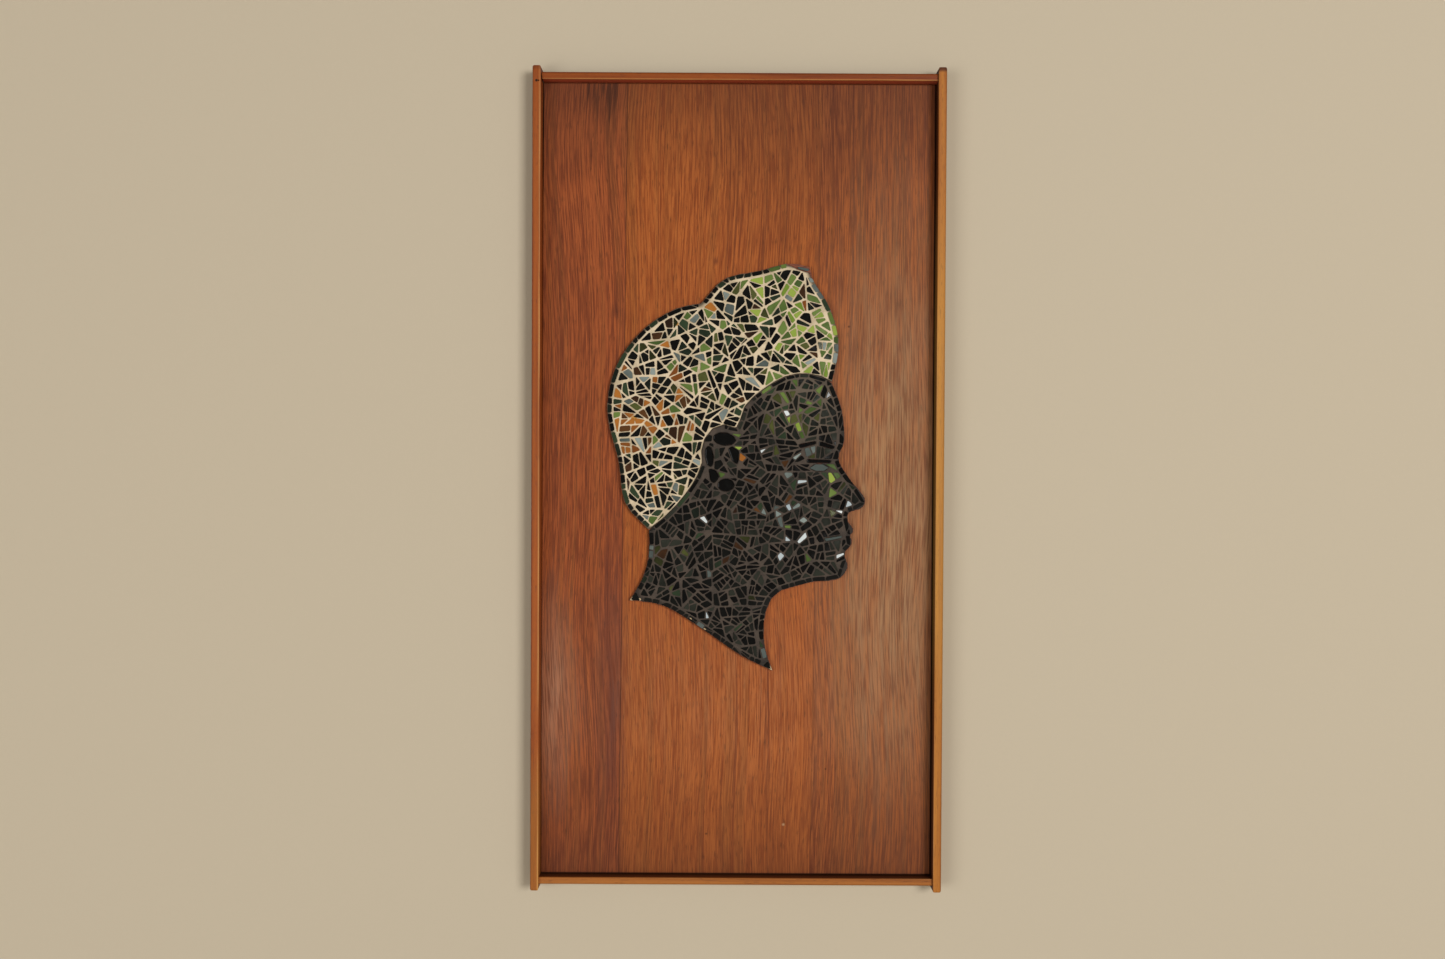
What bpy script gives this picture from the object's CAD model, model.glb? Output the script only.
import math
import random

import bmesh
import bpy
from mathutils import Euler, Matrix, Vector


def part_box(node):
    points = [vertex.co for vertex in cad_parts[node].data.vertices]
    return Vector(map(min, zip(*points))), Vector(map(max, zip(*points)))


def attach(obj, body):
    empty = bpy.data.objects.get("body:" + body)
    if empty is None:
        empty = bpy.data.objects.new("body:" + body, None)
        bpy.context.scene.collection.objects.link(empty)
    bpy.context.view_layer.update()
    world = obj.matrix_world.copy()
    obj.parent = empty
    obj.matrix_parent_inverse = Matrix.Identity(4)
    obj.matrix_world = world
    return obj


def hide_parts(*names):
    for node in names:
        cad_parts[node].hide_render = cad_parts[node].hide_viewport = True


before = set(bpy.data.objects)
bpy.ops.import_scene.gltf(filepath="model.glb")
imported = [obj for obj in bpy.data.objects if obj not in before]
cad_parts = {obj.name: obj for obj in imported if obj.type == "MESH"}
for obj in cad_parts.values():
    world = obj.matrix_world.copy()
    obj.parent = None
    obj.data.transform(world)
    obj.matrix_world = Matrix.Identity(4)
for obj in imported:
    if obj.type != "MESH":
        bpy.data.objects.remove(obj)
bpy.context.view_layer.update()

mm = 0.001


def linear(hexColour):
    channels = [int(hexColour[i : i + 2], 16) / 255 for i in (1, 3, 5)]
    return [c / 12.92 if c <= 0.04045 else ((c + 0.055) / 1.055) ** 2.4 for c in channels] + [1.0]


# Adds a node with its settings; an input is a value, an output, or a node for its output in use
def addNode(tree, kind, settings=None, inputs=None):
    node = tree.nodes.new("ShaderNode" + kind)
    for name, value in (settings or {}).items():
        setattr(node, name, value)
    for socket, value in (inputs or {}).items():
        if isinstance(value, bpy.types.Node):
            value = next(output for output in value.outputs if output.enabled)
        if isinstance(value, bpy.types.NodeSocket):
            tree.links.new(value, node.inputs[socket])
        else:
            node.inputs[socket].default_value = value
    return node


# Settings that many nodes share
smooth = {"interpolation_type": "SMOOTHSTEP"}
colours = {"data_type": "RGBA"}
times, plus, minus = {"operation": "MULTIPLY"}, {"operation": "ADD"}, {"operation": "SUBTRACT"}
above, size, larger = {"operation": "GREATER_THAN"}, {"operation": "ABSOLUTE"}, {"operation": "MAXIMUM"}
timesPlus, distance = {"operation": "MULTIPLY_ADD"}, {"operation": "DISTANCE"}


# An empty material with its shader and the place of each point in mm
def startMaterial(name):
    material = bpy.data.materials.new(name)
    material.use_nodes = True
    tree = material.node_tree
    tree.nodes.clear()
    shader = addNode(tree, "BsdfPrincipled")
    addNode(tree, "OutputMaterial", None, {"Surface": shader})
    metres = addNode(tree, "TexCoord").outputs["Object"]
    place = addNode(tree, "Mapping", None, {"Vector": metres, "Scale": (1000, 1000, 1000)})
    return material, tree, shader, place


teakValues = {  # lengths in mm
    "outerArris": 1.8, "outerStrength": 0.6,  # width of the dark outer arris
    "endGrain": "#4E2410", "endGrainHeight": (394.0, 397.5),  # starts, is full
    "faded": "#E4B850",
    "pin": "#120805", "pinRadius": (1.6, 0.9), "pinStrength": 0.95,  # starts, is full
}


# Oiled teak: straight grain with dark open pores, paler where the arris is worn
def oiledTeak(name, wood):
    material, tree, shader, place = startMaterial(name)
    upright = wood["along"] == "z"
    long = (1, 1, 1 / 50) if upright else (1 / 50, 1, 1)
    short = (1, 1, 1 / 14) if upright else (1 / 14, 1, 1)
    grain = addNode(tree, "Mapping", None, {0: place, "Location": wood["offset"], "Scale": long})
    dashes = addNode(tree, "Mapping", None, {0: place, "Location": wood["offset"], "Scale": short})
    bands = addNode(tree, "TexNoise", None, {"Vector": grain, "Scale": 1 / 5, "Detail": 3})
    fibres = addNode(tree, "TexNoise", None, {"Vector": grain, "Scale": 1 / 0.8, "Detail": 3})
    specks = addNode(tree, "TexNoise", None, {"Vector": dashes, "Scale": 1 / 0.6, "Detail": 1})
    tone = addNode(tree, "MapRange", smooth, {0: bands, 1: 0.35, 2: 0.68})
    colour = addNode(tree, "Mix", colours, {0: tone, 6: linear(wood["dark"]), 7: linear(wood["light"])})
    lighter = addNode(tree, "MapRange", smooth, {0: fibres, 1: 0.3, 2: 0.75, 4: 0.45})
    colour = addNode(tree, "Mix", colours, {0: lighter, 6: colour, 7: linear(wood["light"])})
    pores = addNode(tree, "MapRange", smooth, {0: specks, 1: 0.6, 2: 0.7, 4: 0.5})
    colour = addNode(tree, "Mix", colours, {0: pores, 6: colour, 7: linear(wood["pore"])})
    split = addNode(tree, "SeparateXYZ", None, {0: place})
    across = addNode(tree, "Math", size, {0: split.outputs["X" if upright else "Z"]})
    inner, front = wood["inner"], wood["front"]
    nearArris = addNode(tree, "MapRange", smooth, {0: across, 1: inner + wood["wornWidth"], 2: inner})
    nearFront = addNode(tree, "MapRange", smooth, {0: split.outputs["Y"], 1: 2.2 - front, 2: 0.5 - front})
    rubs = addNode(tree, "TexNoise", None, {"Vector": grain, "Scale": 1 / 3, "Detail": 4})
    patchy = addNode(tree, "MapRange", smooth, {0: rubs, 1: 0.36, 2: 0.6, 4: wood["wear"]})
    worn = addNode(tree, "Math", times, {0: nearArris, 1: nearFront})
    worn = addNode(tree, "Math", times, {0: worn, 1: patchy})
    colour = addNode(tree, "Mix", colours, {0: worn, 6: colour, 7: linear(wood["worn"])})
    innerSide = addNode(tree, "MapRange", smooth, {0: across, 1: inner + 0.5, 2: inner + 0.1})
    forward = addNode(tree, "MapRange", smooth, {0: split.outputs["Y"], 1: 1.2 - front, 2: 3.0 - front})
    shaded = addNode(tree, "Math", times, {0: innerSide, 1: forward})
    deep = addNode(tree, "MapRange", smooth, {0: split.outputs["Y"], 1: 3.0 - front, 2: -8.0})
    grime = addNode(tree, "Mix", colours, {0: deep, 6: linear(wood["side"]), 7: linear(wood["deepSide"])})
    grimy = addNode(tree, "Math", times, {0: shaded, 1: wood["grime"]})
    colour = addNode(tree, "Mix", colours, {0: grimy, 6: colour, 7: grime})
    outer = inner + wood["width"]
    nearOuter = addNode(
        tree, "MapRange", smooth,
        {0: across, 1: outer - teakValues["outerArris"], 2: outer, 4: teakValues["outerStrength"]},
    )
    colour = addNode(tree, "Mix", colours, {0: nearOuter, 6: colour, 7: linear(wood["outer"])})
    start, full = teakValues["endGrainHeight"]
    endGrain = addNode(
        tree, "MapRange", smooth, {0: split.outputs["Z"], 1: start, 2: full, 4: wood["endGrain"]}
    )
    colour = addNode(tree, "Mix", colours, {0: endGrain, 6: colour, 7: linear(teakValues["endGrain"])})
    for height, reach, strength in wood["faded"]:
        fromHeight = addNode(tree, "Math", minus, {0: split.outputs["Z"], 1: height})
        fromHeight = addNode(tree, "Math", size, {0: fromHeight})
        faded = addNode(tree, "MapRange", smooth, {0: fromHeight, 1: reach, 2: 0.4 * reach, 4: strength})
        colour = addNode(tree, "Mix", colours, {0: faded, 6: colour, 7: linear(teakValues["faded"])})
    start, full = teakValues["pinRadius"]
    for pin in wood["pins"]:
        away = addNode(tree, "VectorMath", distance, {0: place, 1: pin}).outputs[1]
        hole = addNode(
            tree, "MapRange", smooth, {0: away, 1: start, 2: full, 4: teakValues["pinStrength"]}
        )
        colour = addNode(tree, "Mix", colours, {0: hole, 6: colour, 7: linear(teakValues["pin"])})
    oil = addNode(tree, "MapRange", smooth, {0: bands, 1: 0.3, 2: 0.7, 3: 0.4, 4: 0.56})
    shader.inputs["Specular IOR Level"].default_value = 0.2
    relief = addNode(tree, "Math", minus, {0: fibres, 1: pores})
    bump = addNode(tree, "Bump", None, {"Height": relief, "Strength": 0.5, "Distance": 0.12 * mm})
    tree.links.new(colour.outputs[2], shader.inputs["Base Color"])
    tree.links.new(oil.outputs[0], shader.inputs["Roughness"])
    tree.links.new(bump.outputs[0], shader.inputs["Normal"])
    return material


# Lengths in mm; inner is from the panel's middle; faded gives height, reach and strength
stripValues = {
    "left_stile": {
        "along": "z", "dark": "#863F17", "light": "#A6571F", "side": "#8E4222", "pore": "#552A18",
        "worn": "#C68A4C", "inner": 192.0, "width": 8.0, "wornWidth": 2.4, "front": 24.0, "wear": 0.95,
        "grime": 0.12, "deepSide": "#24100A", "outer": "#6E2A12", "endGrain": 0.35, "offset": (0, 0, 0),
        "pins": [(-196.0, -24.0, 385.0)], "faded": [(-390.0, 150.0, 0.1)],
    },
    "right_stile": {
        "along": "z", "dark": "#96541B", "light": "#B4722B", "side": "#4A2418", "pore": "#6E3F1E",
        "worn": "#D8A468", "inner": 192.0, "width": 8.0, "wornWidth": 1.2, "front": 24.0, "wear": 0.5,
        "grime": 0.9,
        "deepSide": "#24100A", "outer": "#8A5020", "endGrain": 0.9, "offset": (50, 20, 9), "pins": [],
        "faded": [(20.0, 290.0, 0.16)],
    },
    "top_rail": {
        "along": "x", "dark": "#6E2E0B", "light": "#8D4513", "side": "#B85436", "pore": "#5A2C18",
        "worn": "#C88E52",
        "inner": 387.5, "width": 7.0, "wornWidth": 1.5, "front": 20.5, "wear": 0.85, "grime": 0.95,
        "deepSide": "#A4482E", "outer": "#5A280E", "endGrain": 0.0, "offset": (3, 80, 20), "pins": [],
        "faded": [],
    },
    "bottom_rail": {
        "along": "x", "dark": "#874A1C", "light": "#A6652B", "side": "#4A2214", "pore": "#60361C",
        "worn": "#D09A60",
        "inner": 387.5, "width": 7.0, "wornWidth": 1.3, "front": 20.5, "wear": 0.5, "grime": 0.85,
        "deepSide": "#24100A", "outer": "#8A5A2C", "endGrain": 0.0, "offset": (1, 40, 60), "pins": [],
        "faded": [],
    },
}

for node, wood in stripValues.items():
    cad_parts[node].data.materials.clear()
    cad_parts[node].data.materials.append(oiledTeak("oiledTeak_" + node, wood))
print("frame strips finished")

boardValues = {
    "seams": [(-112.0, 0.0075, 0.75), (77.0, 0.0102, 0.35)],  # place at mid height in mm, lean, strength
    "leaves": [("#75371C", "#A6562B"), ("#89431B", "#AB5E2A"), ("#743619", "#A55B2C")],
    "turn": 0.7,  # degrees that the grain leans
    "bend": 28.0, "apart": 90.0,  # mm that the grain wanders, and that the leaves differ by
    "rib": "#5A2414",
    "nearRails": [(285.0, 385.0, 0.5), (-265.0, -385.0, 0.42)],  # height in mm: starts, is full; strength
    "shade": "#4A2A1D",
    "olive": "#80562A",
    "fleck": "#44240F",
    "seam": "#3C1D10",
    "dirt": "#25110B",  # in the groove round the board
    "grooves": [(1, -1, 0.9), (-1, 1, 0.1)],  # right and bottom, left and top
    "grooveEdge": (189.6, 191.2),  # mm from the middle where the dirt starts, is full
    "taller": 195.5,  # half the height less half the width
    "edge": "#5C3019",
    "edges": (60.0, 200.0, 0.2),  # mm from the middle: starts, is full; strength
    "back": ("#9C7A55", "#7F6143"), "backDepth": -0.6,
    "hazy": 100,  # half height in mm past which a mark breaks up along the grain
    "marks": [  # x, z, half width, half height in mm, colour, strength
        (60, 300, 110, 100, "#4E2818", 0.3),
        (152, -30, 80, 330, "#A98C66", 0.37),  # dulled varnish
        (-184, -212, 30, 118, "#B8967A", 0.23),
        (-122, -210, 20, 190, "#4E2A28", 0.42),  # darker streak beside the seam
        (20, -210, 260, 130, "#B09A80", 0.05),
        (-134, 372, 24, 24, "#3A1C12", 0.3),  # stain in the open grain
        (-147, 380, 2.5, 16, "#1E0E08", 0.7),
        (-141, 374, 3, 22, "#1E0E08", 0.6),
        (-133, 382, 4, 12, "#1E0E08", 0.7),
        (-127, 372, 2.5, 30, "#241008", 0.6),
        (-121, 378, 3, 20, "#241008", 0.6),
        (-145, 322, 2, 34, "#3A1C12", 0.5),
        (-120, 165, 6, 9, "#4E2416", 0.45),
        (-22, 214, 3, 5, "#5A2A1A", 0.6),
        (-191.2, 345, 1.3, 80, "#140A06", 0.95),
        (-29, -347.5, 1.6, 1.3, "#40220F", 0.9),
        (108, 151, 1.4, 1.4, "#3E2012", 0.9),
        (88, -283, 1.3, 1.6, "#3E2012", 0.8),
        (47, -338, 1.6, 1.4, "#C09870", 0.8),
    ],
}


# Varnished veneer in three leaves: a close upright grain that changes at each seam
def varnishedVeneer(name, board):
    material, tree, shader, place = startMaterial(name)
    split = addNode(tree, "SeparateXYZ", None, {0: place})
    x, y, z = split.outputs
    leaf, seams = 0.0, 0.0
    for middle, lean, strength in board["seams"]:
        leaning = addNode(tree, "Math", timesPlus, {0: z, 1: -lean, 2: -middle})
        beside = addNode(tree, "Math", plus, {0: x, 1: leaning})
        past = addNode(tree, "Math", above, {0: beside, 1: 0.0})
        gap = addNode(tree, "Math", size, {0: beside})
        line = addNode(tree, "MapRange", smooth, {0: gap, 1: 0.6, 2: 0.25, 4: strength})
        leaf = addNode(tree, "Math", plus, {0: past, 1: leaf})
        seams = addNode(tree, "Math", larger, {0: line, 1: seams})
    depth = addNode(tree, "Math", times, {0: leaf, 1: board["apart"]})
    broad = addNode(tree, "Mapping", None, {0: place, "Scale": (1 / 150, 1, 1 / 220)})
    bend = addNode(tree, "TexNoise", None, {"Vector": broad, "Scale": 1.0, "Detail": 0})
    bent = addNode(tree, "Math", timesPlus, {0: bend, 1: board["bend"], 2: x})
    leafPlace = addNode(tree, "CombineXYZ", None, {0: bent, 1: depth, 2: z})
    turned = (0, math.radians(board["turn"]), 0)
    grain = addNode(tree, "Mapping", None, {0: leafPlace, "Rotation": turned, "Scale": (1, 1, 1 / 110)})
    dashes = addNode(tree, "Mapping", None, {0: leafPlace, "Rotation": turned, "Scale": (1, 1, 1 / 28)})
    nicks = addNode(tree, "Mapping", None, {0: leafPlace, "Rotation": turned, "Scale": (1, 1, 1 / 13)})
    threads = addNode(tree, "Mapping", None, {0: leafPlace, "Rotation": turned, "Scale": (1, 1, 1 / 160)})
    figure = addNode(tree, "TexNoise", None, {"Vector": grain, "Scale": 1 / 13, "Detail": 4})
    streaks = addNode(tree, "TexNoise", None, {"Vector": grain, "Scale": 1 / 2.8, "Detail": 4})
    fibres = addNode(tree, "TexNoise", None, {"Vector": dashes, "Scale": 1 / 1.2, "Detail": 2})
    specks = addNode(tree, "TexNoise", None, {"Vector": nicks, "Scale": 1 / 0.9, "Detail": 1})
    rings = addNode(tree, "TexNoise", None, {"Vector": threads, "Scale": 1 / 4.6, "Detail": 1})
    tone = addNode(tree, "Math", times, {0: figure, 1: 0.14})
    tone = addNode(tree, "Math", timesPlus, {0: streaks, 1: 0.2, 2: tone})
    tone = addNode(tree, "Math", timesPlus, {0: fibres, 1: 0.66, 2: tone})
    tone = addNode(tree, "MapRange", smooth, {0: tone, 1: 0.4, 2: 0.6})
    colour = None
    for index, (dark, light) in enumerate(board["leaves"]):
        veneer = addNode(tree, "Mix", colours, {0: tone, 6: linear(dark), 7: linear(light)})
        chosen = addNode(tree, "Math", above, {0: leaf, 1: index - 0.5})
        colour = addNode(tree, "Mix", colours, {0: chosen, 6: colour or veneer, 7: veneer})
    cloudy = addNode(
        tree, "TexNoise", None, {"Vector": grain, "Scale": 1 / 9, "Detail": 2, "Distortion": 0.4}
    )
    cast = addNode(tree, "MapRange", smooth, {0: cloudy, 1: 0.46, 2: 0.66, 4: 0.18})
    colour = addNode(tree, "Mix", colours, {0: cast, 6: colour, 7: linear(board["olive"])})
    offMiddle = addNode(tree, "Math", minus, {0: rings, 1: 0.5})
    offMiddle = addNode(tree, "Math", size, {0: offMiddle})
    ribs = addNode(tree, "MapRange", smooth, {0: offMiddle, 1: 0.035, 2: 0.0, 4: 0.5})
    colour = addNode(tree, "Mix", colours, {0: ribs, 6: colour, 7: linear(board["rib"])})
    flecks = addNode(tree, "MapRange", smooth, {0: specks, 1: 0.58, 2: 0.7, 4: 0.5})
    colour = addNode(tree, "Mix", colours, {0: flecks, 6: colour, 7: linear(board["fleck"])})
    fromMiddle = addNode(tree, "Math", size, {0: x})
    start, full, strength = board["edges"]
    edges = addNode(tree, "MapRange", smooth, {0: fromMiddle, 1: start, 2: full, 4: strength})
    colour = addNode(tree, "Mix", colours, {0: edges, 6: colour, 7: linear(board["edge"])})
    onRidges = addNode(tree, "MapRange", smooth, {0: fibres, 1: 0.36, 2: 0.62, 3: 0.5, 4: 1.4})
    rubbed = addNode(tree, "Mapping", None, {0: place, "Scale": (1 / 12, 1, 1 / 90)})
    scuffs = addNode(tree, "TexNoise", None, {"Vector": rubbed, "Scale": 1.0, "Detail": 5})
    scuffs = addNode(tree, "MapRange", smooth, {0: scuffs, 1: 0.36, 2: 0.64, 3: 0.7, 4: 1.25})
    haze = addNode(tree, "Math", times, {0: onRidges, 1: scuffs})
    for markX, markZ, width, height, mark, strength in board["marks"]:
        centred = addNode(
            tree, "Mapping", {"vector_type": "TEXTURE"},
            {0: place, "Location": (markX, 0, markZ), "Scale": (width, 1000, height)},
        )
        away = addNode(tree, "VectorMath", {"operation": "LENGTH"}, {0: centred}).outputs[1]
        ragged = addNode(tree, "Math", timesPlus, {0: tone, 1: 0.4, 2: away})
        spot = addNode(tree, "MapRange", smooth, {0: ragged, 1: 1.5, 2: 0.35, 4: strength})
        if height > board["hazy"]:
            spot = addNode(tree, "Math", times, {0: spot, 1: haze})
        colour = addNode(tree, "Mix", colours, {0: spot, 6: colour, 7: linear(mark)})
    for start, full, strength in board["nearRails"]:
        shaded = addNode(tree, "MapRange", None, {0: z, 1: start, 2: full, 4: strength})
        colour = addNode(tree, "Mix", colours, {0: shaded, 6: colour, 7: linear(board["shade"])})
    colour = addNode(tree, "Mix", colours, {0: seams, 6: colour, 7: linear(board["seam"])})
    start, full = board["grooveEdge"]
    for right, top, strength in board["grooves"]:
        aside = addNode(tree, "Math", times, {0: x, 1: right})
        upward = addNode(tree, "Math", timesPlus, {0: z, 1: top, 2: -board["taller"]})
        outer = addNode(tree, "Math", larger, {0: aside, 1: upward})
        groove = addNode(tree, "MapRange", smooth, {0: outer, 1: start, 2: full, 4: strength})
        colour = addNode(tree, "Mix", colours, {0: groove, 6: colour, 7: linear(board["dirt"])})
    behind = addNode(tree, "Math", above, {0: y, 1: board["backDepth"]})
    dark, light = board["back"]
    plain = addNode(tree, "Mix", colours, {0: tone, 6: linear(light), 7: linear(dark)})
    colour = addNode(tree, "Mix", colours, {0: behind, 6: colour, 7: plain})
    wiped = addNode(tree, "TexNoise", None, {"Vector": place, "Scale": 1 / 90, "Detail": 2})
    varnish = addNode(tree, "MapRange", smooth, {0: wiped, 1: 0.3, 2: 0.7, 3: 0.44, 4: 0.56})
    shader.inputs["Specular IOR Level"].default_value = 0.12
    relief = addNode(tree, "Math", minus, {0: fibres, 1: flecks})
    relief = addNode(tree, "Math", minus, {0: relief, 1: seams})
    bump = addNode(tree, "Bump", None, {"Height": relief, "Strength": 0.5, "Distance": 0.08 * mm})
    tree.links.new(colour.outputs[2], shader.inputs["Base Color"])
    tree.links.new(varnish.outputs[0], shader.inputs["Roughness"])
    tree.links.new(bump.outputs[0], shader.inputs["Normal"])
    return material


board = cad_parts["back_board"]
board.data.materials.clear()
board.data.materials.append(varnishedVeneer("varnishedVeneer", boardValues))
print("board finished")


groundValues = {"dark": "#4E2416", "light": "#8A4A2C", "roughness": 0.75}


# Raw wood at the edge of the cut-out, reddish brown
def sawnWood(name, wood):
    material, tree, shader, place = startMaterial(name)
    along = addNode(tree, "Mapping", None, {0: place, "Scale": (1 / 7, 1 / 1.2, 1 / 0.9)})
    grain = addNode(tree, "TexNoise", None, {"Vector": along, "Scale": 1.0, "Detail": 3})
    tone = addNode(tree, "MapRange", smooth, {0: grain, 1: 0.35, 2: 0.65})
    colour = addNode(tree, "Mix", colours, {0: tone, 6: linear(wood["dark"]), 7: linear(wood["light"])})
    bump = addNode(tree, "Bump", None, {"Height": grain, "Strength": 0.6, "Distance": 0.2 * mm})
    shader.inputs["Roughness"].default_value = wood["roughness"]
    tree.links.new(colour.outputs[2], shader.inputs["Base Color"])
    tree.links.new(bump.outputs[0], shader.inputs["Normal"])
    return material


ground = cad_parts["head_ground"]
ground.data.materials.clear()
ground.data.materials.append(sawnWood("sawnWood", groundValues))


# Cement grout: chalky and matt, with a sandy grit, soiled towards the board and chipped
def cementGrout(name, grout):
    material, tree, shader, place = startMaterial(name)
    patches = addNode(tree, "TexNoise", None, {"Vector": place, "Scale": 1 / 16, "Detail": 4})
    sand = addNode(tree, "TexNoise", None, {"Vector": place, "Scale": 1 / 0.8, "Detail": 3})
    tone = addNode(tree, "MapRange", smooth, {0: patches, 1: 0.36, 2: 0.62})
    colour = addNode(
        tree, "Mix", colours, {0: tone, 6: linear(grout["dirty"]), 7: linear(grout["clean"])}
    )
    grit = addNode(tree, "MapRange", smooth, {0: sand, 1: 0.4, 2: 0.66, 4: 0.4})
    colour = addNode(tree, "Mix", colours, {0: grit, 6: colour, 7: linear(grout["grit"])})
    split = addNode(tree, "SeparateXYZ", None, {0: place})
    start, full = groutValues["soilDepth"]
    low = addNode(
        tree, "MapRange", smooth, {0: split.outputs["Y"], 1: start, 2: full, 4: grout["soiled"]}
    )
    colour = addNode(tree, "Mix", colours, {0: low, 6: colour, 7: linear(grout["soil"])})
    for x, z, reach, strength in grout["pale"]:
        away = addNode(tree, "VectorMath", distance, {0: place, 1: (x, groutValues["chipDepth"], z)})
        away = away.outputs[1]
        pale = addNode(tree, "MapRange", smooth, {0: away, 1: reach, 2: 0.4 * reach, 4: strength})
        colour = addNode(tree, "Mix", colours, {0: pale, 6: colour, 7: linear(grout["paler"])})
    for x, z, radius in grout["chips"]:
        away = addNode(tree, "VectorMath", distance, {0: place, 1: (x, groutValues["chipDepth"], z)})
        away = away.outputs[1]
        chip = addNode(tree, "MapRange", smooth, {0: away, 1: radius + 0.6, 2: radius})
        colour = addNode(tree, "Mix", colours, {0: chip, 6: colour, 7: linear(grout["chip"])})
    bump = addNode(tree, "Bump", None, {"Height": sand, "Strength": 0.7, "Distance": 0.25 * mm})
    shader.inputs["Roughness"].default_value = 0.88
    tree.links.new(colour.outputs[2], shader.inputs["Base Color"])
    tree.links.new(bump.outputs[0], shader.inputs["Normal"])
    return material


# Broken sheet glass, opaque and glossy, faintly wavy; each shard has a shade of its own
def brokenGlass(name, glass):
    material, tree, shader, place = startMaterial(name)
    shade = addNode(tree, "Attribute", {"attribute_name": "shade"}).outputs["Fac"]
    moved = addNode(tree, "Mapping", None, {0: place, "Location": glass["offset"]})
    clouds = addNode(tree, "TexNoise", None, {"Vector": moved, "Scale": 1 / 9, "Detail": 3})
    waves = addNode(tree, "TexNoise", None, {"Vector": moved, "Scale": 1 / 11, "Detail": 0})
    tone = addNode(tree, "Math", timesPlus, {0: clouds, 1: 0.6, 2: shade})
    tone = addNode(tree, "MapRange", smooth, {0: tone, 1: 0.25, 2: 1.4})
    colour = addNode(tree, "Mix", colours, {0: tone, 6: linear(glass["deep"]), 7: linear(glass["pale"])})
    dust = addNode(tree, "MapRange", smooth, {0: clouds, 1: 0.4, 2: 0.7, 3: glass["roughness"], 4: 0.17})
    bump = addNode(tree, "Bump", None, {"Height": waves, "Strength": 0.2, "Distance": 0.1 * mm})
    shader.inputs["IOR"].default_value = 1.52
    shader.inputs["Specular IOR Level"].default_value = 0.35
    tree.links.new(colour.outputs[2], shader.inputs["Base Color"])
    tree.links.new(dust.outputs[0], shader.inputs["Roughness"])
    tree.links.new(bump.outputs[0], shader.inputs["Normal"])
    return material


glassValues = {
    "blackGlass": {"deep": "#010101", "pale": "#0D0E0B", "roughness": 0.06, "offset": (0, 0, 0)},
    "smokeGlass": {"deep": "#0D0E0B", "pale": "#2E3028", "roughness": 0.08, "offset": (9, 9, 90)},
    "bottleGlass": {"deep": "#121812", "pale": "#303F2A", "roughness": 0.08, "offset": (90, 0, 0)},
    "oliveGlass": {"deep": "#22240F", "pale": "#50542A", "roughness": 0.08, "offset": (0, 90, 0)},
    "leafGlass": {"deep": "#3E5226", "pale": "#687C3C", "roughness": 0.1, "offset": (0, 0, 90)},
    "limeGlass": {"deep": "#66802A", "pale": "#94A648", "roughness": 0.1, "offset": (9, 90, 0)},
    "brownGlass": {"deep": "#24150C", "pale": "#5C3A1C", "roughness": 0.08, "offset": (0, 9, 90)},
    "amberGlass": {"deep": "#723F1A", "pale": "#AC6C2C", "roughness": 0.08, "offset": (90, 0, 9)},
    "greyGlass": {"deep": "#4A524E", "pale": "#8E9892", "roughness": 0.08, "offset": (90, 90, 0)},
    "milkGlass": {"deep": "#A4B0B4", "pale": "#DEE3E1", "roughness": 0.12, "offset": (0, 90, 90)},
}
glasses = {name: brokenGlass(name, glass) for name, glass in glassValues.items()}
glassOrder = list(glassValues)


def selectNothing():
    if bpy.context.mode != "OBJECT":
        bpy.ops.object.mode_set(mode="OBJECT")
    bpy.ops.object.select_all(action="DESELECT")


def makeActive(piece):
    selectNothing()
    piece.select_set(True)
    bpy.context.view_layer.objects.active = piece


# A merged copy of a node, left in edit mode
def copyOfNode(node, name):
    piece = bpy.data.objects.new(name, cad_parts[node].data.copy())
    bpy.context.collection.objects.link(piece)
    piece.data.materials.clear()
    makeActive(piece)
    bpy.ops.object.mode_set(mode="EDIT")
    bpy.ops.mesh.select_mode(type="VERT")
    bpy.ops.mesh.select_all(action="SELECT")
    bpy.ops.mesh.remove_doubles(threshold=0.004 * mm)
    bpy.ops.mesh.select_all(action="DESELECT")
    return piece


# Selects the corners of the raised tiles: the front one of two points above each other,
# unless the point behind it lies on the back of the bed
def selectTileCorners(piece, node):
    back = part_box(node)[1][1]
    mesh = bmesh.from_edit_mesh(piece.data)
    columns = {}
    for corner in mesh.verts:
        key = (round(corner.co.x / mm, 2), round(corner.co.z / mm, 2))
        columns.setdefault(key, []).append(corner)
    tops = set()
    for column in columns.values():
        column.sort(key=lambda corner: corner.co.y)
        if len(column) > 1 and column[1].co.y < back - 0.3 * mm:
            tops.add(column[0])
    for corner in mesh.verts:
        corner.select_set(corner in tops)
    mesh.select_flush(True)
    bmesh.update_edit_mesh(piece.data)


groutValues = {  # mm
    "tileHeight": 0.8,  # of the tiles that are levelled to the bed
    "cell": 1.25,  # of the new mesh
    "swell": 0.35,  # unevenness of the bed
    "swellSize": 7.0,
    "soilDepth": (-15.2, -13.6),  # where the dirt towards the board starts, is full
    "chipDepth": -13.0,
}


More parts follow.
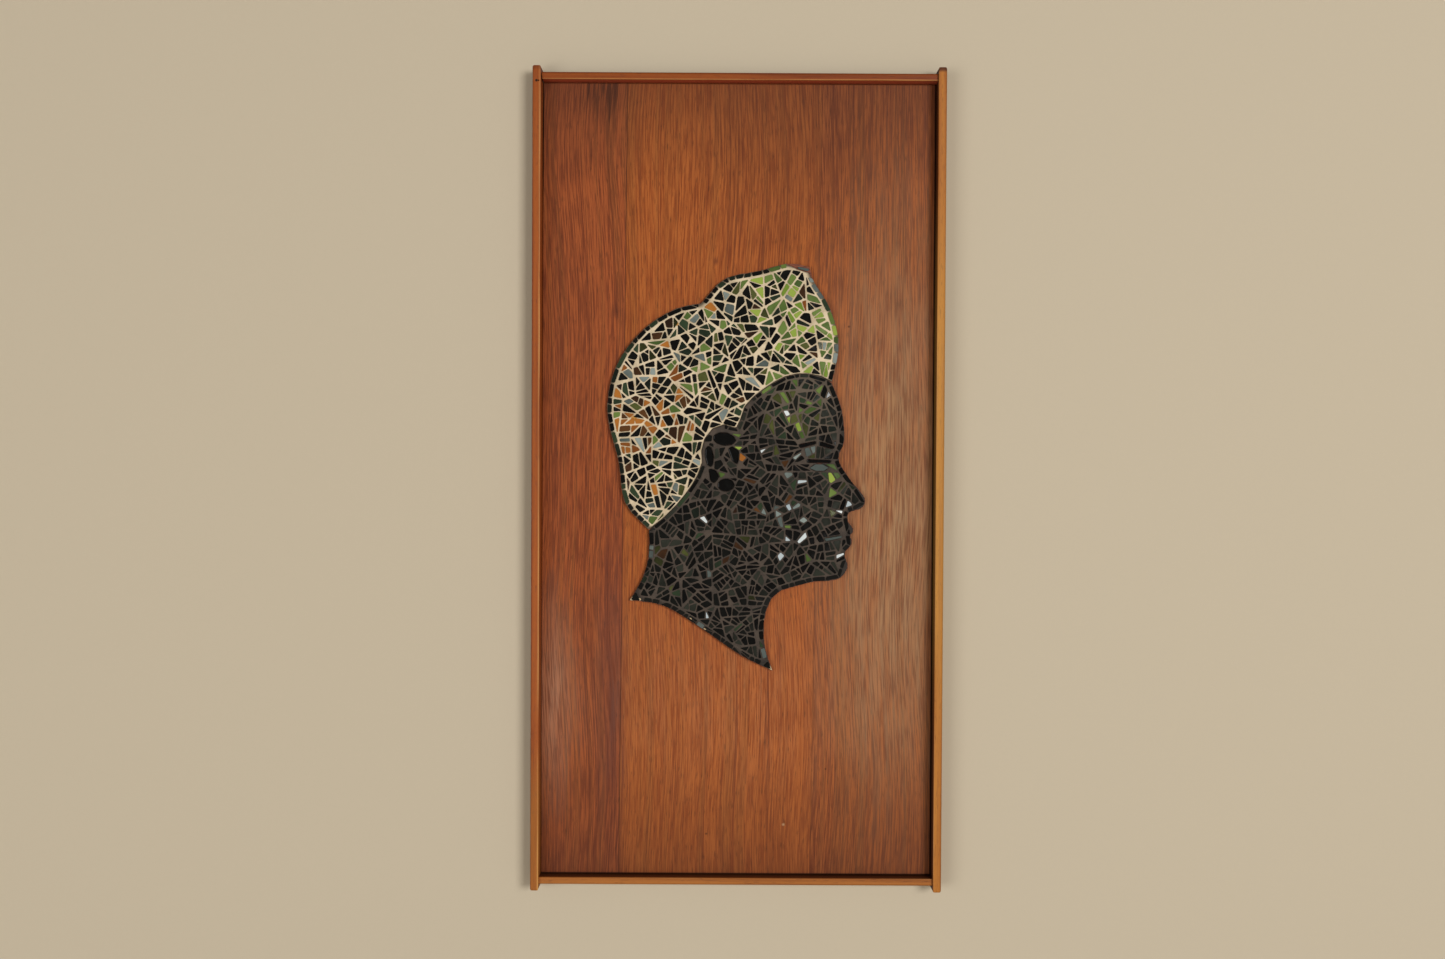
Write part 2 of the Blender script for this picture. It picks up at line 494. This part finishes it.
# The bed of grout without its tiles, uneven as a thumb leaves it
def groutBed(node, name, grout):
    piece = copyOfNode(node, name)
    selectTileCorners(piece, node)
    bpy.ops.transform.translate(value=(0, groutValues["tileHeight"] * mm, 0))
    bpy.ops.mesh.select_all(action="SELECT")
    bpy.ops.mesh.remove_doubles(threshold=0.02 * mm)
    bpy.ops.mesh.normals_make_consistent(inside=False)
    bpy.ops.object.mode_set(mode="OBJECT")
    cells = piece.modifiers.new("cells", "REMESH")
    cells.mode = "VOXEL"
    cells.voxel_size = groutValues["cell"] * mm
    bpy.ops.object.modifier_apply(modifier=cells.name)
    lumps = bpy.data.textures.new(name + "Lumps", "CLOUDS")
    lumps.noise_scale = groutValues["swellSize"] * mm
    lumps.noise_depth = 2
    uneven = piece.modifiers.new("uneven", "DISPLACE")
    uneven.texture = lumps
    uneven.texture_coords = "LOCAL"
    uneven.mid_level = 0.5
    uneven.strength = groutValues["swell"] * mm
    bpy.ops.object.modifier_apply(modifier=uneven.name)
    bpy.ops.object.shade_smooth()
    piece.data.materials.append(cementGrout(name, grout))
    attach(piece, "root")
    print(name, "has", len(piece.data.polygons), "faces")
    return piece


creamGrout = {
    "dirty": "#B4A080", "clean": "#D8C3A2", "grit": "#E4D3B5",
    "soil": "#3E3324", "soiled": 0.85,  # towards the board
    "pale": [],
    "chip": "#B8843C",  # stained yellow by old glue
    "chips": [(-102, 92, 3), (-101, 60, 4), (-100, 30, 3), (-99, 78, 2), (-60, 152, 3), (-88, 118, 2)],
}
darkGrout = {
    "dirty": "#332A23", "clean": "#493D33", "grit": "#594D41",
    "soil": "#1E1915", "soiled": 0.6,
    "paler": "#6A5D4D", "pale": [(60, 72, 48, 0.6)],  # x, z, reach in mm, strength
    "chip": "#C8B08A",  # knocked off at the edge, down to pale cement
    "chips": [
        (34, -183, 2.2), (-103, -116, 1.6), (-95, -116.5, 1.0), (-71, -122, 1.0), (-45, -135, 1.2),
        (-31, -145, 1.0), (28, -136, 1.4), (30, -163, 1.2), (33, -122, 0.9),
    ],
}
hairGrout = groutBed("hair_mosaic", "hairGrout", creamGrout)
faceGrout = groutBed("face_mosaic", "faceGrout", darkGrout)

shardValues = {
    "leastArea": 7.0,  # square mm
    "toCorner": 0.2,  # share of the cracks that run to a corner
    "sliver": 0.42,  # area over squared length under which a tile isn't split lengthwise
    "loose": 0.22,  # how far a corner strays
    "blunt": 12.0,  # percent of each edge cut off at a corner
    "depth": 1.5,
    "edge": 0.14,  # rounding of the front edge
    "flat": 12.0,  # degrees under which the faces of a tile are merged
    "limit": (0.7, 0.9),  # of the area above which a tile is broken: least share, spread
    "tries": 1600,
    "crackPlace": (0.36, 0.28),  # on the longest edge: least share, spread
    "lengthwiseTurn": 16.0, "acrossTurn": 28.0,  # degrees
    "rimLean": -0.95, "rimDepth": -13.6,  # a shard on the rim leans more, or lies deeper in mm
    "smallArea": 17.0, "smallBright": 1.6, "largeBright": 0.25,  # bright shards are mostly small
    "milkArea": 24.0,
}

# The area in square mm above which a tile is broken again, and the grout between its halves
hairField = {"node": "hair_mosaic", "seed": 7, "area": 62.0, "joint": 0.95, "lengthwise": 0.18}
faceField = {"node": "face_mosaic", "seed": 12, "area": 46.0, "joint": 1.25, "lengthwise": 0.42}


# Breaks a face in two along a line, and takes out the joint between the halves.
# The material index marks the face and its parts
def breakFace(piece, face, point, normal, half):
    for other in bmesh.from_edit_mesh(piece.data).faces:
        other.material_index = 0
    face.material_index = 1
    for side in (-half, half):
        mesh = bmesh.from_edit_mesh(piece.data)
        for other in mesh.faces:
            other.select_set(False)
        for other in [f for f in mesh.faces if f.material_index == 1]:
            other.select_set(True)
        bmesh.update_edit_mesh(piece.data)
        bpy.ops.mesh.bisect(plane_co=point + normal * side, plane_no=normal, threshold=0.001 * mm)
    mesh = bmesh.from_edit_mesh(piece.data)
    parts = [f for f in mesh.faces if f.material_index == 1]
    joint = [f for f in parts if abs((f.calc_center_median() - point).dot(normal)) < half]
    for other in mesh.faces:
        other.select_set(False)
    for strip in joint:
        strip.select_set(True)
    bmesh.update_edit_mesh(piece.data)
    if joint and len(joint) < len(parts):
        bpy.ops.mesh.delete(type="FACE")


# The shards of one field: the tiles' tops, broken smaller, loosened, thickened and eased
def shardsOf(name, field, chooseGlass, laidByHand=()):
    chance = random.Random(field["seed"])
    piece = copyOfNode(field["node"], name)
    selectTileCorners(piece, field["node"])
    bpy.ops.mesh.select_mode(type="FACE")
    mesh = bmesh.from_edit_mesh(piece.data)
    for face in mesh.faces:
        face.select_set(all(corner.select for corner in face.verts) and face.normal.y < -0.5)
    bmesh.update_edit_mesh(piece.data)
    bpy.ops.mesh.select_all(action="INVERT")
    bpy.ops.mesh.delete(type="FACE")
    bpy.ops.mesh.select_all(action="SELECT")
    bpy.ops.mesh.dissolve_limited(angle_limit=math.radians(shardValues["flat"]))
    for outline in laidByHand:
        bpy.ops.mesh.select_all(action="DESELECT")
        bpy.ops.mesh.primitive_circle_add(vertices=len(outline), radius=2 * mm, fill_type="NGON")
        mesh = bmesh.from_edit_mesh(piece.data)
        corners = [corner for corner in mesh.verts if corner.select]
        for corner, place in zip(corners, outline):
            corner.co = [mm * part for part in place]
        bmesh.update_edit_mesh(piece.data)
    least, spread = shardValues["limit"]
    limits = [least + spread * chance.random() for _ in range(7)]
    tried = set()
    for _ in range(shardValues["tries"]):
        mesh = bmesh.from_edit_mesh(piece.data)
        large = None
        for face in mesh.faces:
            middle = face.calc_center_median()
            key = (round(middle.x, 5), round(middle.z, 5))
            limit = field["area"] * limits[int(abs(middle.x * 7919 + middle.z * 104729)) % 7]
            if key not in tried and face.calc_area() > limit * mm * mm:
                large = face
                break
        if large is None:
            break
        tried.add(key)
        corners = [corner.co.copy() for corner in large.verts]
        longest = max(range(len(corners)), key=lambda i: (corners[i] - corners[i - 1]).length)
        edge = corners[longest] - corners[longest - 1]
        least, spread = shardValues["crackPlace"]
        onEdge = corners[longest - 1] + edge * (least + spread * chance.random())
        facing = [c for i, c in enumerate(corners) if i not in (longest, (longest - 1) % len(corners))]
        squat = large.calc_area() > shardValues["sliver"] * edge.length_squared
        if squat and chance.random() < field["lengthwise"]:
            onEdge = large.calc_center_median()
            across = Vector((-edge.z, 0, edge.x))
            turn = shardValues["lengthwiseTurn"]
            across.rotate(Euler((0, math.radians(chance.uniform(-turn, turn)), 0)))
        elif chance.random() < shardValues["toCorner"]:
            across = (facing[chance.randrange(len(facing))] - onEdge).cross(Vector((0, 1, 0)))
        else:
            across = Vector((edge.x, 0, edge.z))
            turn = shardValues["acrossTurn"]
            across.rotate(Euler((0, math.radians(chance.uniform(-turn, turn)), 0)))
        breakFace(piece, large, onEdge, across.normalized(), field["joint"] * mm / 2)
    mesh = bmesh.from_edit_mesh(piece.data)
    for face in mesh.faces:
        face.select_set(face.calc_area() < shardValues["leastArea"] * mm * mm)
    bmesh.update_edit_mesh(piece.data)
    bpy.ops.mesh.delete(type="FACE")
    bpy.ops.mesh.select_all(action="SELECT")
    bpy.ops.mesh.edge_split(type="EDGE")
    bpy.ops.transform.vertex_random(offset=shardValues["loose"] * mm, uniform=0.2, seed=field["seed"])
    bpy.ops.mesh.face_make_planar(factor=1.0, repeat=6)
    bpy.ops.mesh.select_mode(type="VERT")
    bpy.ops.mesh.select_all(action="SELECT")
    bpy.ops.mesh.bevel(
        offset_type="PERCENT", offset_pct=shardValues["blunt"], affect="VERTICES", segments=1
    )
    bpy.ops.mesh.select_mode(type="FACE")
    bpy.ops.mesh.select_all(action="SELECT")
    bpy.ops.transform.translate(value=(0, shardValues["depth"] * mm, 0))
    bpy.ops.mesh.extrude_region_move(
        TRANSFORM_OT_translate={"value": (0, -shardValues["depth"] * mm, 0)}
    )
    bpy.ops.mesh.region_to_loop()
    bpy.ops.mesh.bevel(offset=shardValues["edge"] * mm, affect="EDGES", segments=1)
    bpy.ops.mesh.select_all(action="SELECT")
    bpy.ops.mesh.normals_make_consistent(inside=False)
    mesh = bmesh.from_edit_mesh(piece.data)
    for material in glasses.values():
        piece.data.materials.append(material)
    shade = mesh.faces.layers.float.new("shade")
    seen, count = set(), 0
    for start in mesh.faces:
        if start in seen:
            continue
        shard, queue = [], [start]
        seen.add(start)
        while queue:
            face = queue.pop()
            shard.append(face)
            for edge in face.edges:
                for other in edge.link_faces:
                    if other not in seen:
                        seen.add(other)
                        queue.append(other)
        middle = sum((face.calc_center_median() for face in shard), Vector()) / len(shard)
        front = max(shard, key=lambda face: face.calc_area() * -face.normal.y)
        onRim = front.normal.y > shardValues["rimLean"] or middle.y > shardValues["rimDepth"] * mm
        area = front.calc_area() / (mm * mm)
        glass = glassOrder.index(chooseGlass(middle.x / mm, middle.z / mm, area, onRim, chance))
        tint = chance.random()
        count += 1
        for face in shard:
            face.material_index = glass
            face[shade] = tint
    bmesh.update_edit_mesh(piece.data)
    bpy.ops.object.mode_set(mode="OBJECT")
    bpy.ops.object.shade_flat()
    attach(piece, "root")
    print(name, "has", count, "shards and", len(piece.data.polygons), "faces")
    return piece


# How near a point is to a patch of colour, from 0 to 1
def nearness(x, z, patch):
    px, pz, reach = patch
    return math.exp(-((x - px) ** 2 + (z - pz) ** 2) / (2 * reach * reach))


def pick(chance, weights):
    names = list(weights)
    return chance.choices(names, [weights[name] for name in names])[0]


hairPatches = {
    "green": [(66, 146, 27), (82, 112, 20)],
    "moss": [(38, 176, 20), (10, 128, 26), (-40, 120, 30)],
    "amber": [(-83, 63, 26), (-76, 145, 11)],
    "rimGreen": [(40, 208, 7), (88, 160, 13), (93, 135, 12)],
    "rimGrey": [(71, 198, 5), (79, 184, 5), (93, 114, 6)],
}
facePatches = {
    "amber": [(4, 24, 12), (48, 15, 9)],
    "green": [(58, 74, 26), (84, 12, 14)],
    "glint": [(84, -12, 32)],
    "sheen": [(70, 58, 34), (88, -20, 26)],
    "rimGrey": [(31, -172, 6), (-86, -71, 4)],
}


def inPatches(x, z, patches):
    return max(nearness(x, z, patch) for patch in patches)


def hairGlass(x, z, area, onRim, chance):
    green = inPatches(x, z, hairPatches["green"])
    moss = inPatches(x, z, hairPatches["moss"])
    amber = inPatches(x, z, hairPatches["amber"])
    if onRim:
        rimGreen = inPatches(x, z, hairPatches["rimGreen"])
        rimGrey = inPatches(x, z, hairPatches["rimGrey"])
        return pick(chance, {
            "blackGlass": 6.0, "bottleGlass": 4.0, "leafGlass": 14.0 * rimGreen,
            "limeGlass": 4.0 * rimGreen, "greyGlass": 0.2 + 40.0 * rimGrey,
        })
    return pick(chance, {
        "blackGlass": 6.0 - 4.6 * green, "bottleGlass": 1.6 + 0.6 * moss,
        "oliveGlass": 0.7 + 1.2 * moss, "leafGlass": 0.2 + 1.5 * moss + 3.6 * green,
        "limeGlass": 0.03 + 3.0 * green, "brownGlass": 0.3 + 1.7 * amber,
        "amberGlass": 0.06 + 5.6 * amber, "greyGlass": 0.4,
        "milkGlass": 0.12 if area < shardValues["milkArea"] else 0.0,
    })


def faceGlass(x, z, area, onRim, chance):
    amber = inPatches(x, z, facePatches["amber"])
    glint = inPatches(x, z, facePatches["glint"])
    green = inPatches(x, z, facePatches["green"])
    if onRim:
        rimGrey = inPatches(x, z, facePatches["rimGrey"])
        return pick(chance, {"blackGlass": 9.0, "bottleGlass": 1.0, "greyGlass": 0.05 + 60.0 * rimGrey})
    sheen = inPatches(x, z, facePatches["sheen"])
    small = area < shardValues["smallArea"]
    bright = shardValues["smallBright" if small else "largeBright"]
    return pick(chance, {
        "blackGlass": 6.4 - 4.2 * sheen, "smokeGlass": 3.0 + 3.0 * sheen,
        "bottleGlass": 0.2 + 3.2 * green, "oliveGlass": 0.1 + 3.2 * green,
        "leafGlass": bright * (0.12 + 1.1 * green) + 1.1 * green,
        "limeGlass": bright * (0.06 + 0.8 * green),
        "brownGlass": 0.1 + 0.5 * amber, "amberGlass": bright * (0.01 + 1.2 * amber),
        "greyGlass": 0.06 + 0.7 * glint, "milkGlass": bright * (0.06 + 1.2 * glint),
    })


# At the crown's broken corner: one on the ledge, two on the slope of the grout
cornerShards = [
    [(57.6, -13.5, 208.6), (57.8, -13.5, 206.5), (67.6, -13.5, 203.8), (68.2, -13.5, 206.4)],
    [(63.9, -16.0, 201.9), (66.9, -15.9, 198.9), (70.1, -14.2, 199.0), (68.2, -14.5, 202.1)],
    [(67.8, -15.9, 197.7), (69.7, -15.4, 192.9), (73.4, -13.8, 193.8), (71.6, -13.6, 197.0)],
]
hairShards = shardsOf("hairShards", hairField, hairGlass, cornerShards)
faceShards = shardsOf("faceShards", faceField, faceGlass)
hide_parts("hair_mosaic")
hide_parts("hair_mosaic")
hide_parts("face_mosaic")
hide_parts("face_mosaic")

featureValues = {
    "edge": 0.35,  # rounding of the front edge
    "sharp": 16,  # degrees
    "glass": {
        "ear_top_tile": "blackGlass", "ear_back_tile": "blackGlass", "ear_front_tile": "blackGlass",
        "ear_lower_tile": "blackGlass", "ear_lobe_tile": "blackGlass", "eye_tile": "greyGlass",
        "eyelid_tile": "blackGlass", "brow_front_tile": "blackGlass", "brow_back_tile": "blackGlass",
        "nostril_tile": "blackGlass", "mouth_tile": "greyGlass",
    },
}


# A tile of the ear, eye, brow, nose or mouth, with its front edge eased
def featureTile(node, glass):
    words = node.split("_")
    piece = copyOfNode(node, words[0] + "".join(word.capitalize() for word in words[1:]))
    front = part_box(node)[0][1]
    bpy.ops.mesh.select_mode(type="FACE")
    mesh = bmesh.from_edit_mesh(piece.data)
    for face in mesh.faces:
        face.select_set(all(corner.co.y < front + 0.01 * mm for corner in face.verts))
    bmesh.update_edit_mesh(piece.data)
    bpy.ops.mesh.dissolve_faces()
    bpy.ops.mesh.region_to_loop()
    bpy.ops.mesh.bevel(offset=featureValues["edge"] * mm, affect="EDGES", segments=2)
    bpy.ops.mesh.select_all(action="SELECT")
    bpy.ops.mesh.normals_make_consistent(inside=False)
    bpy.ops.object.mode_set(mode="OBJECT")
    bpy.ops.object.shade_smooth_by_angle(angle=math.radians(featureValues["sharp"]))
    piece.data.materials.append(glasses[glass])
    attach(piece, "root")
    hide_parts(node)


for node, glass in featureValues["glass"].items():
    featureTile(node, glass)
print("mosaic finished")

roomValues = {
    "wall": "#C2B49C", "floor": "#CFCBC3", "roller": "#BEB29A",
    "width": 8, "floorHeight": -1.45, "wallBehind": 0.0006,  # metres
    "keyPlace": (2.2, -4.3, 0.5), "keySize": 1.5, "keyPower": 139.0,
    "fillPlace": (-2.4, -3.4, -0.4), "fillSize": 2.0, "fillPower": 52.0,
    "sky": "#98938C", "skyStrength": 0.62,
}


# Matt emulsion paint with a faint roller texture
def paint(name, hexColour):
    material, tree, shader, place = startMaterial(name)
    roller = addNode(tree, "TexNoise", None, {"Vector": place, "Scale": 1 / 4, "Detail": 3})
    tone = addNode(tree, "MapRange", smooth, {0: roller, 1: 0.3, 2: 0.7, 4: 0.2})
    colour = addNode(
        tree, "Mix", colours, {0: tone, 6: linear(hexColour), 7: linear(roomValues["roller"])}
    )
    shader.inputs["Roughness"].default_value = 0.9
    tree.links.new(colour.outputs[2], shader.inputs["Base Color"])
    return material, tree, shader


selectNothing()
bpy.ops.mesh.primitive_plane_add(size=roomValues["width"], location=(0, 0, roomValues["floorHeight"]))
floor = bpy.context.object
floor.name = "floor"
floor.data.materials.append(paint("floorPaint", roomValues["floor"])[0])

selectNothing()
wallMiddle = roomValues["floorHeight"] + roomValues["width"] / 2
bpy.ops.mesh.primitive_plane_add(
    size=roomValues["width"], location=(0, roomValues["wallBehind"], wallMiddle),
    rotation=(math.pi / 2, 0, 0),
)
wall = bpy.context.object
wall.name = "wall"
wallPaint, tree, shader = paint("wallPaint", roomValues["wall"])
seenFromBehind = addNode(tree, "NewGeometry").outputs["Backfacing"]
clear = addNode(tree, "BsdfTransparent")
oneSided = addNode(tree, "MixShader", None, {0: seenFromBehind, 1: shader, 2: clear})
tree.links.new(oneSided.outputs[0], tree.nodes["Material Output"].inputs["Surface"])
wall.data.materials.append(wallPaint)
wall.visible_diffuse = wall.visible_shadow = wall.visible_glossy = False


def softLight(name, place, size, power):
    light = bpy.data.lights.new(name, "AREA")
    light.shape, light.size, light.energy = "SQUARE", size, power
    lamp = bpy.data.objects.new(name, light)
    bpy.context.collection.objects.link(lamp)
    lamp.location = place
    lamp.rotation_euler = (Vector((0, 0, 0)) - Vector(place)).to_track_quat("-Z", "Y").to_euler()


softLight("key", roomValues["keyPlace"], roomValues["keySize"], roomValues["keyPower"])
softLight("fill", roomValues["fillPlace"], roomValues["fillSize"], roomValues["fillPower"])
world = bpy.data.worlds.new("room")
world.use_nodes = True
sky = world.node_tree.nodes["Background"]
sky.inputs["Color"].default_value = linear(roomValues["sky"])
sky.inputs["Strength"].default_value = roomValues["skyStrength"]
bpy.context.scene.world = world
bpy.context.scene.view_settings.view_transform = "Standard"

cameraValues = {
    "lens": 35.0, "sensor": 36.0, "place": (-0.0148, -1.3836, 0.0225),
    "pitch": -0.9, "roll": -0.3,  # degrees
}
lens = bpy.data.cameras.new("camera")
lens.lens, lens.sensor_width, lens.sensor_fit = cameraValues["lens"], cameraValues["sensor"], "HORIZONTAL"
camera = bpy.data.objects.new("camera", lens)
bpy.context.collection.objects.link(camera)
camera.location = cameraValues["place"]
pitch, roll = math.radians(cameraValues["pitch"]), math.radians(cameraValues["roll"])
camera.rotation_euler = (math.pi / 2 + pitch, roll, 0)
bpy.context.scene.camera = camera
print("room, lights and camera finished")
